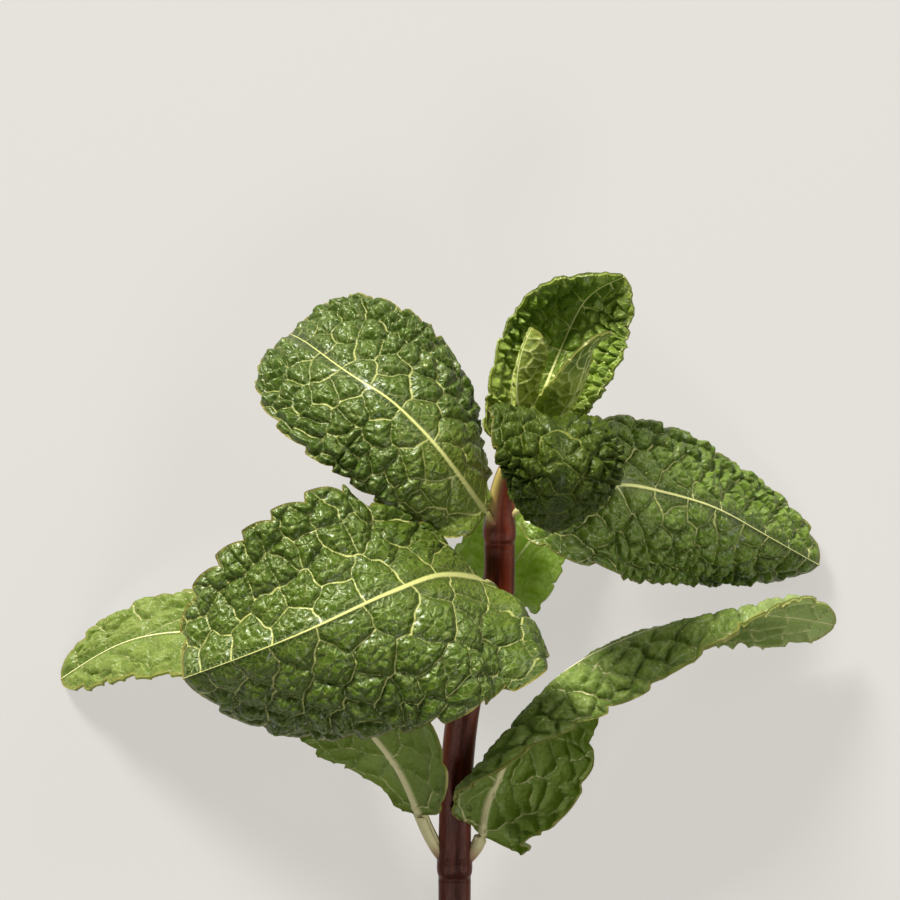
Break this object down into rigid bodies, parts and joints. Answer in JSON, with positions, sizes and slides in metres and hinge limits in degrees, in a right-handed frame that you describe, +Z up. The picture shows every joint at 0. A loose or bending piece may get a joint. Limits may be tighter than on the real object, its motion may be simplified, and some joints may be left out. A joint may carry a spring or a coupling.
{
  "type": "peppermint sprig",
  "caption": "Cut sprig of peppermint lying on a table: square purplish stem with paired, puckered, saw-toothed leaves and a young tip",
  "frame": {"origin": "on the table surface, under the middle of the sprig's bounding box", "axes": "+Z up from the table, +Y along the lying stem toward the growing tip, +X to the right seen from above with the tip pointing away"},
  "size_m": [0.0842, 0.0906, 0.0355],
  "materials": {
    "stem": "smooth fresh stem, dark purplish red with paler ridges, slight sheen",
    "leaf": "fresh leaf, mid green, puckered between pale veins, soft waxy sheen, lets light through",
    "leaf_old": "fresh leaf, paler yellow-green, matte underside with raised veins, lets light through",
    "leaf_dark": "young leaf, dark green, strongly puckered, waxy sheen",
    "leaf_young": "folded young leaf, pale yellow-green with raised pale veins and short hairs"
  },
  "bodies": {
    "root": {"stem": "stem", "leaf_front": "leaf", "leaf_upper_left": "leaf", "leaf_upper_right": "leaf", "leaf_lower_left": "leaf_old", "leaf_lower_right": "leaf_old", "leaf_back": "leaf_old", "leaf_top_back": "leaf", "leaf_top_front": "leaf_dark", "young_leaf_left": "leaf_young", "young_leaf_right": "leaf_young"}
  },
  "joints": []
}
